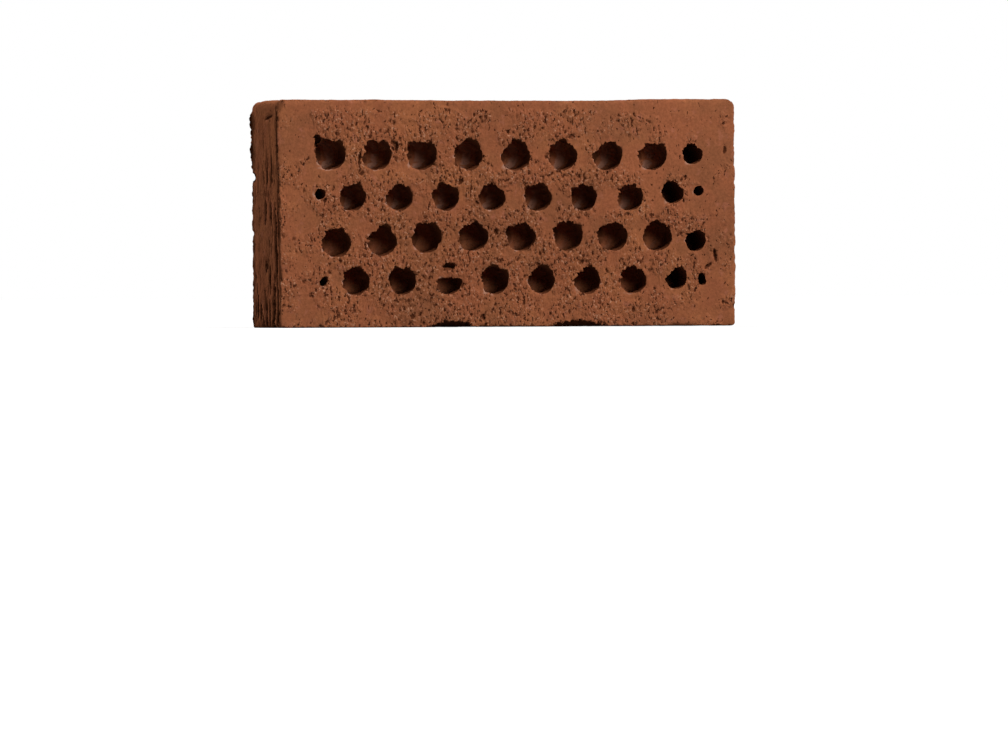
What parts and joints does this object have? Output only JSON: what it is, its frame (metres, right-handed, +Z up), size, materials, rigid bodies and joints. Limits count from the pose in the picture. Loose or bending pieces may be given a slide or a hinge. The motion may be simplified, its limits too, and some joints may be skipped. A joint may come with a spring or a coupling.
{
  "type": "perforated clay facing brick",
  "caption": "Rectangular fired-clay brick, wire-cut, with staggered rows of round perforations running from bed face to bed face.",
  "frame": {"origin": "middle of the underside, the long side that the brick stands on", "axes": "+X along the brick's length, towards the end where the rows close with narrower holes; +Y along the perforations, from the pictured bed face to the other; +Z up"},
  "size_m": [0.24, 0.052, 0.115],
  "materials": {
    "fired_clay": "matt, rough, wire-cut"
  },
  "bodies": {
    "root": {"brick": "fired_clay"}
  },
  "joints": []
}
